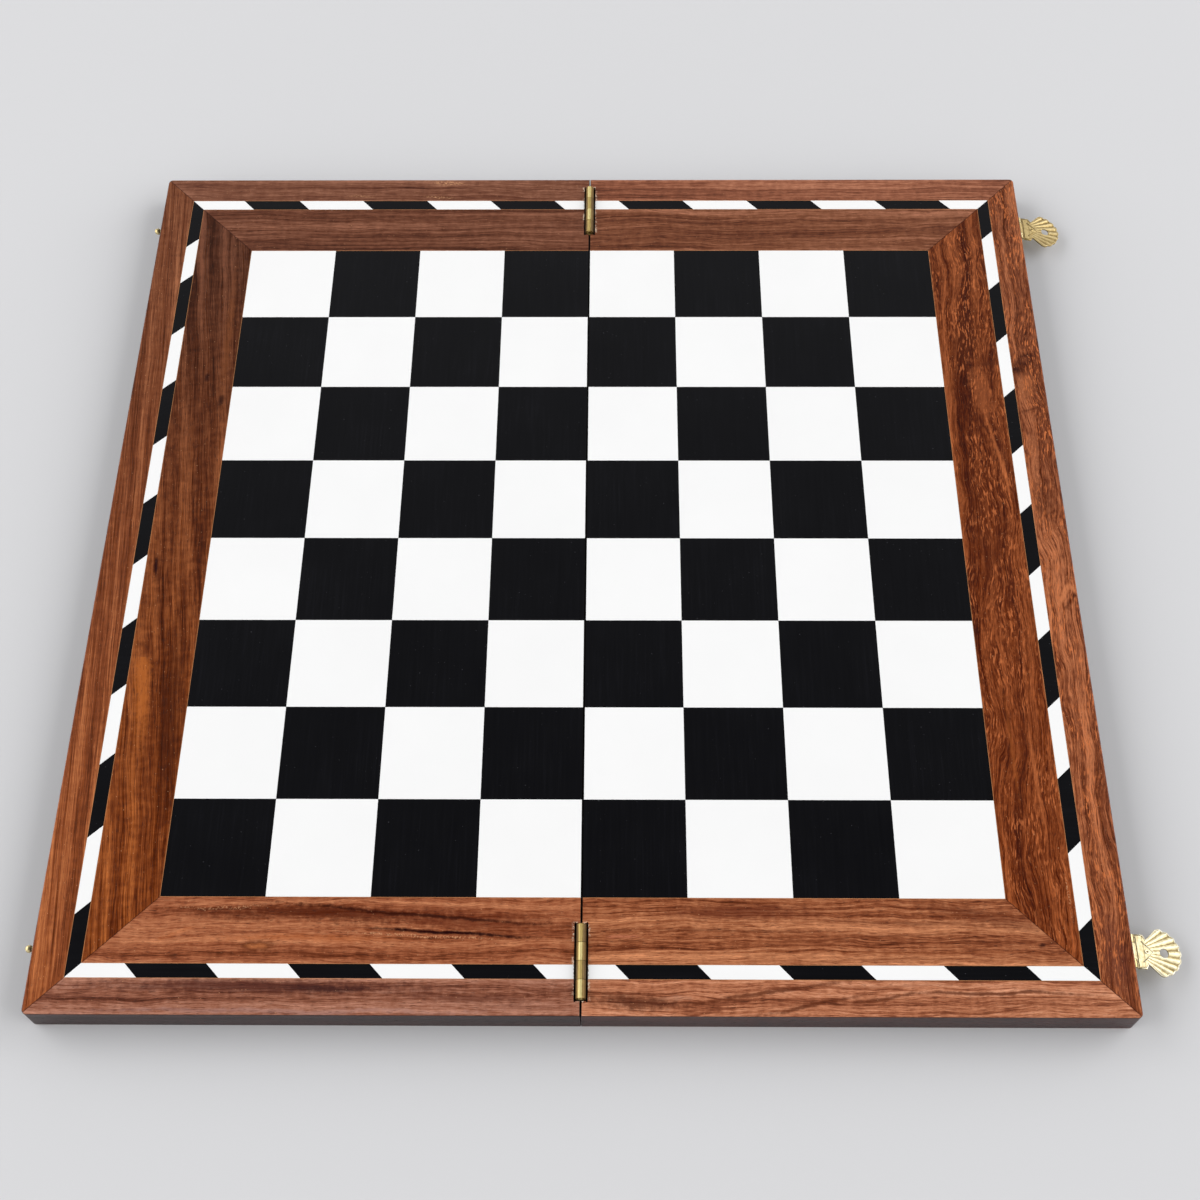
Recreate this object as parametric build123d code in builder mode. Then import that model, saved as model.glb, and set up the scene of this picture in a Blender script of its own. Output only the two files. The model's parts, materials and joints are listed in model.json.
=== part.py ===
"""Folding chess board: two mitred, inlaid wooden halves on two brass butt hinges, with shell hasps.

Millimetres, +Z up. The origin is the middle of the fold on the underside. X runs from the left
half to the right half, Y from the front edge to the back edge. The board lies open.
"""
from build123d import *
import os
from math import cos, radians, sin, sqrt, tan

os.makedirs("parts", exist_ok=True)

# Board in plan
square = 54.0
squares_across = 8
inner_rail_width = 35.1
inlay_width = 7.4
outer_rail_width = 18.6
seam_gap = 0.5
glue_line = 0.1

# Board in section
board_thickness = 19.0
top_layer = 3.2
backing_thickness = 2.0
lipping_width = 16.0
corner_radius = 2.7
arris_radius = 0.8
foot_chamfer = 0.6

# Inlay band, laid by hand: each strip has a corner piece, whole pieces of about one length, a piece
# that is cut to fit and the other corner piece
inlay_piece = 41.5
first_corner_piece = {"left": 32.6, "right": 25.2, "back": 24.7, "front": 29.1}
fitted_piece = {"left": 29.9, "right": 41.7, "back": 35.9, "front": 41.1}
last_corner_piece = {"left": 32.1, "right": 26.2, "back": 33.0, "front": 28.9}
inlay_slant = 43.2

# Butt hinges
hinge_length = 38.1
hinge_end_margin = 8.45
barrel_diameter = 5.1
barrel_rise = 0.2
knuckles = 4
knuckle_gap = 0.25
hinge_pin_diameter = 2.4
hinge_pin_recess = 0.8
running_clearance = 0.05
leaf_thickness = 1.2
leaf_drop = 12.0
leaf_corner = 0.6
leaf_notch_gap = 0.25
pocket_end_gap = 1.0
pocket_side_gap = 1.0
pocket_depth = 3.2
overcut_diameter = 1.0

# Hinge screws
screw_diameter = 2.4
screw_head_diameter = 4.6
screw_length = 12.0
screw_end_margin = 6.55
screws_per_leaf = 3
screw_drop = 7.3
slot_width = 0.5
slot_depth = 0.45

# Catches: how far in from the board's ends both the hasps and the knobs sit
catch_end_margin = 36.2
knob_drop = 9.5
knob_reach = 6.7
knob_head_diameter = 4.0
knob_neck_diameter = 2.3
knob_shank_length = 9.5

# Shell hasp, in its own plane: reach is measured out from its pin, span along the pin
hasp_axis_drop = 7.4
hasp_axis_standoff = 1.7
hasp_rest_droop = 12.0
hasp_knuckle_diameter = 2.8
hasp_pin_diameter = 1.3
hasp_knuckle_span = 8.3
hasp_web = 0.6
plate_start = 1.85
plate_end = 6.6
plate_span = 17.9
panel_margin = 0.95
panel_start = 2.45
panel_end = 5.75
panel_rise = 0.3
tongue_span = 10.2
tongue_tip = 11.4
drop_reach = 7.55
drop_radius = 0.9
drop_depth = 0.2
neck_reach = 8.0
shell_root = 1.2
rim_centre = 13.9
rim_radius = 12.1
scallop_bulge = 0.5
flutes = 9
flute_start = 0.22
flute_overrun = 1.25
flute_crest_ratio = 0.19
shoulder_span = 0.6
shoulder_height = 0.72
hasp_hole_diameter = 5.0

# Hasp base plate and its nails
base_span = 17.0
base_thickness = 0.85
base_bottom = 2.3
base_knuckle_clearance = 0.3
nail_pitch = 9.6
nail_height = 5.9
nail_diameter = 1.5
nail_length = 9.5
nail_head_diameter = 3.0
nail_head_rise = 0.5
nail_head_edge = 0.2

# Levels and half-widths that follow from the sizes above
half_play = square * squares_across / 2
inlay_edge = half_play + inner_rail_width
outer_edge = inlay_edge + inlay_width
half_board = outer_edge + outer_rail_width
seam = seam_gap / 2
top_floor = board_thickness - top_layer
fold_height = board_thickness + barrel_rise
barrel_radius = barrel_diameter / 2
hinge_y = half_board - hinge_end_margin - hinge_length / 2
knuckle_length = (hinge_length - (knuckles - 1) * knuckle_gap) / knuckles
catch_offset = half_board - catch_end_margin
hasp_axis_height = board_thickness - hasp_axis_drop
hasp_axis_x = half_board + hasp_axis_standoff
hasp_hole_reach = (fold_height - hasp_axis_height) + (fold_height - board_thickness + knob_drop)

SIDES = {"left": -1, "right": 1}
ENDS = {"back": 1, "front": -1}


def save(piece, name):
    """Label a finished piece and write it out."""
    piece.label = name
    export_step(piece, f"parts/{name}.step")


def between(low, high):
    return (low + high) / 2


def across(x, y, z):
    """Plane square to the fold, for a section that runs along Y from a point."""
    return Plane(origin=(x, y, z), x_dir=(1, 0, 0), z_dir=(0, 1, 0))


# Recess for the hinges, cut from every piece that they are let into: a pocket for the barrel and
# a thinner, deeper mortise for the leaves
with BuildPart() as hinge_recess:
    pocket_half = barrel_radius + pocket_side_gap
    pocket_length = hinge_length + 2 * pocket_end_gap
    with BuildSketch(Plane.XY.offset(board_thickness - pocket_depth)):
        with Locations((0, hinge_y), (0, -hinge_y)):
            Rectangle(2 * pocket_half, pocket_length)
            # Small round overcuts that the cutter leaves at the pocket's corners
            with GridLocations(2 * pocket_half - overcut_diameter, pocket_length, 2, 2):
                Circle(overcut_diameter / 2)
    extrude(amount=pocket_depth + barrel_diameter)
    with BuildSketch(Plane.XY.offset(fold_height - leaf_drop)):
        with Locations((0, hinge_y), (0, -hinge_y)):
            Rectangle(2 * (seam + leaf_thickness), hinge_length)
    extrude(amount=leaf_drop)

# Countersunk wood screw, head at the origin, running out along +X; the blank has no slot
with BuildPart() as screw_blank:
    with BuildSketch(Plane.XZ):
        with BuildLine():
            Polyline(
                (0, 0),
                (0, screw_head_diameter / 2),
                ((screw_head_diameter - screw_diameter) / 2, screw_diameter / 2),
                (screw_length - screw_diameter, screw_diameter / 2),
                (screw_length, 0),
                close=True,
            )
        make_face()
    revolve(axis=Axis.X)

with BuildPart() as hinge_screw:
    add(screw_blank.part)
    with Locations((slot_depth / 2, 0, 0)):
        Box(slot_depth, slot_width, screw_head_diameter, mode=Mode.SUBTRACT)


def screw_places(sign):
    """Planes of the screws in one half's two leaves, each pointing into the wood."""
    outermost = hinge_length / 2 - screw_end_margin
    pitch = 2 * outermost / (screws_per_leaf - 1)
    return [
        Plane(
            origin=(sign * seam, end * hinge_y - outermost + i * pitch, fold_height - screw_drop),
            x_dir=(sign, 0, 0),
            z_dir=(0, 0, 1),
        )
        for end in ENDS.values()
        for i in range(screws_per_leaf)
    ]


def hinge_cuts(sign):
    """Everything that the hinges take out of one half."""
    with BuildPart() as cuts:
        add(hinge_recess.part)
        with Locations(*[place.location for place in screw_places(sign)]):
            add(screw_blank.part)
    return cuts.part


def band(sign, inner, outer, low, high, rounded=False):
    """U-shaped band of one half between two half-widths, open at the seam."""
    with BuildPart() as ring:
        with BuildSketch(Plane.XY.offset(low)):
            Rectangle(2 * outer, 2 * outer)
            if rounded:
                fillet(vertices(), corner_radius)
            Rectangle(2 * inner, 2 * inner, mode=Mode.SUBTRACT)
        extrude(amount=high - low)
        if rounded:
            fillet(faces().sort_by(Axis.Z)[-1].outer_wire().edges(), arris_radius)
            chamfer(faces().sort_by(Axis.Z)[0].outer_wire().edges(), foot_chamfer)
        split(bisect_by=Plane(origin=(sign * seam, 0, 0), z_dir=(sign, 0, 0)), keep=Keep.TOP)
    return ring.part


def mitre(sign, end, towards_side):
    """Plane of a corner's mitre, half a glue line off the diagonal."""
    facing = Vector(sign, -end, 0).normalized() * (1 if towards_side else -1)
    return Plane(origin=facing * glue_line / 2, z_dir=facing)


def side_rail(ring, sign):
    """The part of a band between its two mitres."""
    with BuildPart() as rail:
        add(ring)
        for end in ENDS.values():
            split(bisect_by=mitre(sign, end, True), keep=Keep.TOP)
    return rail.part


def end_rail(ring, sign, end, cuts, eased=False):
    """The part of a band from the seam to its back or front mitre, with the hinge let in."""
    with BuildPart() as rail:
        add(ring)
        if eased:
            feet = edges().filter_by(Axis.Y).group_by(Axis.Z)[0]
            chamfer(feet.sort_by(lambda edge: abs(edge.center().X))[:2], foot_chamfer)
        split(bisect_by=mitre(sign, end, False), keep=Keep.TOP)
        split(bisect_by=Plane(origin=(0, 0, 0), z_dir=(0, end, 0)), keep=Keep.TOP)
        add(cuts, mode=Mode.SUBTRACT)
    return rail.part


def squares_of(sign, dark):
    """The sixteen squares of one colour in one half, a glue line apart."""
    with BuildPart() as tiles:
        with BuildSketch(Plane.XY.offset(top_floor)):
            for column in range(squares_across // 2):
                for row in range(squares_across):
                    # Rows count from the front, columns out from the fold; the near left corner is dark
                    is_dark = (column + row) % 2 == (0 if sign > 0 else 1)
                    if is_dark != dark:
                        continue
                    low = column * square + (seam if column == 0 else glue_line / 2)
                    high = (column + 1) * square - glue_line / 2
                    centre = (sign * between(low, high), (row + 0.5) * square - half_play)
                    with Locations(centre):
                        Rectangle(high - low, square - glue_line)
        extrude(amount=top_layer)
    return tiles.part


def inlay_joints(strip):
    """Where a strip's pieces meet, along the middle of its width, from its first corner piece.

    The number of whole pieces is even, so that both corner pieces have the same colour.
    """
    middle = between(inlay_edge, outer_edge)
    start = -middle + first_corner_piece[strip]
    stop = middle - last_corner_piece[strip]
    run = stop - fitted_piece[strip] - start
    whole = 2 * round(run / inlay_piece / 2)
    return [start + i * run / whole for i in range(whole + 1)] + [stop]


def inlay_pieces(sign, strip, light, cuts):
    """One colour of one strip of the inlay band.

    A strip runs along its own line, u, and v is measured out from the middle of its width. The
    joints slant with v: the back and front strips one way, the side strips the other. The back
    strip is laid from the right, the front one from the left, and the side ones from the front.
    """
    middle = between(inlay_edge, outer_edge)
    half_width = inlay_width / 2 - glue_line / 2
    slack = glue_line / 2 / cos(radians(inlay_slant))
    joints = inlay_joints(strip)
    on_side = strip in SIDES
    slope = tan(radians(inlay_slant)) * (sign if on_side else 1)
    with BuildPart() as pieces:
        with BuildSketch(Plane.XY.offset(top_floor)):
            for i in range(len(joints) + 1):
                # The corner pieces are dark in the side strips and light in the others
                if (i % 2 == (1 if on_side else 0)) != light:
                    continue
                corners = []
                for v in (-half_width, half_width):
                    start = joints[i - 1] + slope * v + slack if i > 0 else -(middle + v) + slack
                    stop = joints[i] + slope * v - slack if i < len(joints) else middle + v - slack
                    corners.append([(start, v), (stop, v)])
                outline = corners[0] + corners[1][::-1]
                with BuildLine():
                    if on_side:
                        Polyline(*[(sign * (middle + v), u) for u, v in outline], close=True)
                    elif strip == "back":
                        Polyline(*[(-u, middle + v) for u, v in outline], close=True)
                    else:
                        Polyline(*[(u, -middle - v) for u, v in outline], close=True)
                make_face()
        extrude(amount=top_layer)
        if not on_side:
            split(bisect_by=Plane(origin=(sign * seam, 0, 0), z_dir=(sign, 0, 0)), keep=Keep.TOP)
            add(cuts, mode=Mode.SUBTRACT)
    return pieces.part


def hinge_leaf(sign, end):
    """Leaf plate in the seam with its two knuckles, countersunk for three screws."""
    y = end * hinge_y
    foot = fold_height - leaf_drop
    # The left leaf has the first and third knuckles from the front, the right leaf the others
    own = range(0 if sign < 0 else 1, knuckles, 2)
    pitch = knuckle_length + knuckle_gap
    starts = [y - hinge_length / 2 + i * pitch for i in range(knuckles)]
    with BuildPart() as leaf:
        with BuildSketch(Plane(origin=(sign * seam, y, 0), x_dir=(0, 1, 0), z_dir=(1, 0, 0))):
            with Locations((0, between(foot, fold_height))):
                Rectangle(hinge_length, leaf_drop)
            fillet(vertices().group_by(Axis.Y)[0], leaf_corner)
        extrude(amount=sign * leaf_thickness)
        for i in range(knuckles):
            if i in own:
                continue
            # Notch that lets the other leaf's knuckle turn
            notch_depth = barrel_radius + leaf_notch_gap
            low = max(starts[i] - knuckle_gap, y - hinge_length / 2)
            high = min(starts[i] + knuckle_length + knuckle_gap, y + hinge_length / 2)
            with Locations((0, between(low, high), fold_height)):
                Box(4 * barrel_diameter, high - low, 2 * notch_depth, mode=Mode.SUBTRACT)
        for i in own:
            with BuildSketch(across(0, starts[i], fold_height)):
                Circle(barrel_radius)
            extrude(amount=knuckle_length)
        bore = hinge_pin_diameter / 2 + (running_clearance if sign > 0 else 0)
        with BuildSketch(across(0, y, fold_height)):
            Circle(bore)
        extrude(amount=hinge_length, both=True, mode=Mode.SUBTRACT)
        with Locations(*[place.location for place in screw_places(sign)]):
            add(screw_blank.part, mode=Mode.SUBTRACT)
    return leaf.part


def hinge_pin(end):
    with BuildPart() as pin:
        with BuildSketch(across(0, end * hinge_y, fold_height)):
            Circle(hinge_pin_diameter / 2)
        extrude(amount=hinge_length / 2 - hinge_pin_recess, both=True)
    return pin.part


# Catch knob, turned: a shank in the wood, a neck and a ball head; its axis runs out along +X
with BuildPart() as knob:
    with BuildSketch(Plane.XZ):
        neck = knob_neck_diameter / 2
        head = knob_head_diameter / 2
        with BuildLine():
            Polyline((0, 0), (-knob_shank_length, 0), (-knob_shank_length, neck), (0, neck))
            head_start = knob_reach - head - sqrt(head**2 - neck**2)
            Line((0, neck), (head_start, neck))
            ThreePointArc((head_start, neck), (knob_reach - head, head), (knob_reach, 0))
            Line((knob_reach, 0), (0, 0))
        make_face()
    revolve(axis=Axis.X)

knob_places = [
    Plane(
        origin=(-half_board, end * catch_offset, board_thickness - knob_drop),
        x_dir=(-1, 0, 0),
        z_dir=(0, 0, 1),
    )
    for end in ENDS.values()
]

# Round-headed nail for the hasp plates, head standing out along +X from the origin
with BuildPart() as nail:
    with BuildSketch(Plane.XZ):
        with BuildLine():
            Polyline(
                (nail_head_rise, 0),
                (-nail_length, 0),
                (-nail_length + nail_diameter, nail_diameter / 2),
                (0, nail_diameter / 2),
                (0, nail_head_diameter / 2),
                (nail_head_edge, nail_head_diameter / 2),
                (nail_head_rise, nail_head_diameter / 4),
                (nail_head_rise, 0),
            )
        make_face()
    revolve(axis=Axis.X)


def rim_point(i, radius):
    """Point of the shell's rim, counted in flutes from one corner of the fan to the other."""
    angle = radians(90 - i * 180 / flutes)
    return (rim_centre + radius * cos(angle), radius * sin(angle))


def from_root(point, scale):
    """Point on the ray from the shell's root, as a share of the way to the given point."""
    return (shell_root + (point[0] - shell_root) * scale, point[1] * scale)


def hasp_outline():
    """Plan outline of the hasp: plate, neck and scalloped fan."""
    corner = rim_point(0, rim_radius)
    neck_span = (neck_reach - shell_root) * corner[1] / (corner[0] - shell_root)
    with BuildSketch() as outline:
        with BuildLine():
            upper = [(plate_start, plate_span / 2), (plate_end, plate_span / 2), (neck_reach, neck_span)]
            Polyline((plate_start, 0), *upper, corner)
            for i in range(flutes):
                crest = rim_point(i + 0.5, rim_radius + scallop_bulge)
                ThreePointArc(rim_point(i, rim_radius), crest, rim_point(i + 1, rim_radius))
            Polyline(rim_point(flutes, rim_radius), *[(u, -v) for u, v in upper[::-1]], (plate_start, 0))
        make_face()
    return outline.sketch


def flute(i):
    """One tapered flute of the shell, crowned on both faces and wider towards the rim."""
    first, last = rim_point(i, rim_radius), rim_point(i + 1, rim_radius)
    middle = (between(first[0], last[0]), between(first[1], last[1]))
    chord = Vector(last[0] - first[0], last[1] - first[1], 0)
    heading = Vector(middle[0] - shell_root, middle[1], 0).length
    crest = flute_crest_ratio * chord.length * heading / (rim_centre + rim_radius - shell_root)
    with BuildPart() as cone:
        for scale in (flute_start, flute_overrun):
            centre = from_root(middle, scale)
            half = chord.length / 2 * scale
            shoulder = (half * shoulder_span, crest * scale * shoulder_height)
            crown = [(-half, 0), (-shoulder[0], shoulder[1]), (0, crest * scale), shoulder, (half, 0)]
            with BuildSketch(Plane(origin=(*centre, 0), x_dir=chord, z_dir=chord.cross(Vector(0, 0, 1)))):
                with BuildLine():
                    Polyline(*crown, *[(x, -y) for x, y in crown[3:0:-1]], close=True)
                make_face()
        loft(ruled=True)
    return cone.part


# The hasp, lying flat: its pin along Y through the origin, its reach along +X
outline = hasp_outline()
flute_cones = [flute(i) for i in range(flutes)]
with BuildPart() as flat_hasp:
    with BuildSketch():
        add(outline)
    extrude(amount=hasp_web / 2, both=True)
    for cone in flute_cones:
        add(cone)
    with BuildSketch():
        add(outline)
    extrude(amount=board_thickness, both=True, mode=Mode.INTERSECT)
    # Raised panel on the plate, and the V-shaped tongue that runs from it into the fan
    with BuildSketch():
        with Locations((between(panel_start, panel_end), 0)):
            Rectangle(panel_end - panel_start, plate_span - 2 * panel_margin)
        with BuildLine():
            Polyline(
                (panel_end, tongue_span / 2),
                (tongue_tip, 0),
                (panel_end, -tongue_span / 2),
                close=True,
            )
        make_face()
    extrude(amount=hasp_web / 2 + panel_rise, both=True)
    # Drop pressed into the tongue on each face
    with BuildSketch() as drop:
        with Locations((drop_reach, 0)):
            Circle(drop_radius)
    for face_side in (1, -1):
        with BuildSketch(Plane.XY.offset(face_side * (hasp_web / 2 + panel_rise))):
            add(drop.sketch)
        extrude(amount=-face_side * drop_depth, mode=Mode.SUBTRACT)
    # Neck and knuckle round the pin
    with Locations((between(0, panel_start), 0, 0)):
        Box(panel_start, hasp_knuckle_span, hasp_web)
    with BuildSketch(Plane.XZ):
        Circle(hasp_knuckle_diameter / 2)
    extrude(amount=hasp_knuckle_span / 2, both=True)
    with BuildSketch(Plane.XZ):
        Circle(hasp_pin_diameter / 2 + running_clearance)
    extrude(amount=plate_span, both=True, mode=Mode.SUBTRACT)
    # Hole that drops over the knob
    with BuildSketch():
        with Locations((hasp_hole_reach, 0)):
            Circle(hasp_hole_diameter / 2)
    extrude(amount=board_thickness, both=True, mode=Mode.SUBTRACT)


def hasp_place(end):
    """Plane of a hasp at rest, drooping from its pin on the right edge."""
    droop = radians(hasp_rest_droop)
    return Plane(
        origin=(hasp_axis_x, end * catch_offset, hasp_axis_height),
        x_dir=(cos(droop), 0, -sin(droop)),
        z_dir=(sin(droop), 0, cos(droop)),
    )


def nail_places():
    """Planes of the nails of both base plates, heads out."""
    face = half_board + base_thickness
    return [
        Plane(
            origin=(face, end * catch_offset + i * nail_pitch / 2, nail_height),
            x_dir=(1, 0, 0),
            z_dir=(0, 0, 1),
        )
        for end in ENDS.values()
        for i in (-1, 1)
    ]


def hasp_base(end):
    """Plate on the right edge, below the hasp's pin, with a knuckle at each end."""
    y = end * catch_offset
    knuckle_radius = hasp_knuckle_diameter / 2
    notch_span = hasp_knuckle_span + 2 * knuckle_gap
    knuckle_span = (base_span - notch_span) / 2
    with BuildPart() as base:
        with Locations((half_board + base_thickness / 2, y, between(base_bottom, hasp_axis_height))):
            Box(base_thickness, base_span, hasp_axis_height - base_bottom)
        with Locations((hasp_axis_x, y, hasp_axis_height)):
            swing = 2 * (knuckle_radius + base_knuckle_clearance)
            Box(swing, notch_span, swing, mode=Mode.SUBTRACT)
        for i in (-1, 1):
            with BuildSketch(across(hasp_axis_x, y + i * notch_span / 2, hasp_axis_height)):
                Circle(knuckle_radius)
            extrude(amount=i * knuckle_span)
        with BuildSketch(across(hasp_axis_x, y, hasp_axis_height)):
            Circle(hasp_pin_diameter / 2)
        extrude(amount=base_span, both=True, mode=Mode.SUBTRACT)
        with Locations(*[place.location for place in nail_places()]):
            add(nail.part, mode=Mode.SUBTRACT)
    return base.part


def hasp_pin(end):
    with BuildPart() as pin:
        with BuildSketch(across(hasp_axis_x, end * catch_offset, hasp_axis_height)):
            Circle(hasp_pin_diameter / 2)
        extrude(amount=base_span / 2, both=True)
    return pin.part


def half_of_board(name, sign):
    """All the wood of one half, and its hinge leaves and screws."""
    cuts = hinge_cuts(sign)

    with BuildPart() as core:
        low_x = seam + lipping_width
        with Locations((sign * between(low_x, outer_edge), 0, between(backing_thickness, top_floor))):
            Box(outer_edge - low_x, 2 * outer_edge, top_floor - backing_thickness)
        add(cuts, mode=Mode.SUBTRACT)
    save(core.part, f"{name}_core_panel")

    with BuildPart() as lipping:
        centre_x = sign * (seam + lipping_width / 2)
        with Locations((centre_x, 0, between(backing_thickness, top_floor))):
            Box(lipping_width, 2 * outer_edge, top_floor - backing_thickness)
        add(cuts, mode=Mode.SUBTRACT)
    save(lipping.part, f"{name}_seam_lipping")

    with BuildPart() as backing:
        with Locations((sign * between(seam, outer_edge), 0, backing_thickness / 2)):
            Box(outer_edge - seam, 2 * outer_edge, backing_thickness)
    save(backing.part, f"{name}_backing")

    outer_ring = band(sign, outer_edge, half_board, 0, board_thickness, rounded=True)
    with BuildPart() as outer_side:
        add(side_rail(outer_ring, sign))
        fittings = knob if sign < 0 else nail
        places = knob_places if sign < 0 else nail_places()
        with Locations(*[place.location for place in places]):
            add(fittings.part, mode=Mode.SUBTRACT)
    save(outer_side.part, f"{name}_outer_rail_side")

    inner_ring = band(sign, half_play, inlay_edge, top_floor, board_thickness)
    save(side_rail(inner_ring, sign), f"{name}_inner_rail_side")

    for strip, end in ENDS.items():
        save(end_rail(outer_ring, sign, end, cuts, eased=True), f"{name}_outer_rail_{strip}")
        save(end_rail(inner_ring, sign, end, cuts), f"{name}_inner_rail_{strip}")
        save(hinge_leaf(sign, end), f"hinge_leaf_{name}_{strip}")

    for strip in (name, *ENDS):
        place = "side" if strip == name else strip
        save(inlay_pieces(sign, strip, True, cuts), f"{name}_inlay_{place}_light")
        save(inlay_pieces(sign, strip, False, cuts), f"{name}_inlay_{place}_dark")

    save(squares_of(sign, True), f"{name}_dark_squares")
    save(squares_of(sign, False), f"{name}_light_squares")

    with BuildPart() as screws:
        with Locations(*[place.location for place in screw_places(sign)]):
            add(hinge_screw.part)
    save(screws.part, f"hinge_screws_{name}")


for half, sign in SIDES.items():
    half_of_board(half, sign)

for strip, end in ENDS.items():
    save(hinge_pin(end), f"hinge_pin_{strip}")
    save(hasp_base(end), f"hasp_base_{strip}")
    save(hasp_pin(end), f"hasp_pin_{strip}")
    with BuildPart() as hasp:
        with Locations(hasp_place(end).location):
            add(flat_hasp.part)
    save(hasp.part, f"shell_hasp_{strip}")

for strip, place in zip(ENDS, knob_places):
    with BuildPart() as catch_knob:
        with Locations(place.location):
            add(knob.part)
    save(catch_knob.part, f"catch_knob_{strip}")

with BuildPart() as nails:
    with Locations(*[place.location for place in nail_places()]):
        add(nail.part)
save(nails.part, "hasp_nails")
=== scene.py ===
"""Finish of the folding chess board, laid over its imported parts. Metres, +Z up."""
import json
import math

import bmesh
import bpy
from mathutils import Matrix, Vector


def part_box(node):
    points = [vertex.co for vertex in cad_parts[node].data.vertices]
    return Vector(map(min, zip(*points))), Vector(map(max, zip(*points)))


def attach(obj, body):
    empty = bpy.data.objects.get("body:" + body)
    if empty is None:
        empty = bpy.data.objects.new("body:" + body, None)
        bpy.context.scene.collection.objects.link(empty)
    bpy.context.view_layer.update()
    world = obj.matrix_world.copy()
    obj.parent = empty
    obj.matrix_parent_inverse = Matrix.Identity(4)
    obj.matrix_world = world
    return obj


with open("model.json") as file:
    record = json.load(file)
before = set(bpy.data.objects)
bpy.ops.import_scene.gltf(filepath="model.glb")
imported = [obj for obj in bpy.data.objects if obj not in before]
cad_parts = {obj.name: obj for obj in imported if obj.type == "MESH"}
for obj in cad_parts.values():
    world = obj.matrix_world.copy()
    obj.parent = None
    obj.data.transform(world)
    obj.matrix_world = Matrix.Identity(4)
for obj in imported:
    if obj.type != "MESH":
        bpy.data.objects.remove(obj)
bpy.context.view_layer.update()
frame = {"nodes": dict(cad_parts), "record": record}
nodes_of = frame["nodes"]

MM = 0.001

# Places that the finishes need, read from the parts
half_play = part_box("right_inner_rail_side")[0].x
inlay_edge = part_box("right_inner_rail_side")[1].x
outer_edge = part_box("right_outer_rail_side")[0].x
half_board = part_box("right_outer_rail_side")[1].x
board_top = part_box("right_light_squares")[1].z
square = half_play / 4
barrel_low, barrel_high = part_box("hinge_leaf_left_back")
hinge_y = (barrel_low.y + barrel_high.y) / 2

# Half sizes of a hinge pocket and of the fold with its arrises
pocket_half_length = (barrel_high.y - barrel_low.y) / 2 + 1.0 * MM
pocket_half_width = 3.55 * MM
seam_half_width = 0.5 * MM


def srgb(red, green, blue):
    """Linear colour from the usual 0 to 255 values."""
    out = []
    for value in (red, green, blue):
        share = value / 255
        out.append(share / 12.92 if share <= 0.04045 else ((share + 0.055) / 1.055) ** 2.4)
    return (*out, 1.0)


def set_stops(node, stops):
    """Give a colour ramp its places and colours."""
    points = node.color_ramp.elements
    while len(points) < len(stops):
        points.new(0.5)
    for point, (place, colour) in zip(points, stops):
        point.position = place
        point.color = colour


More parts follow.
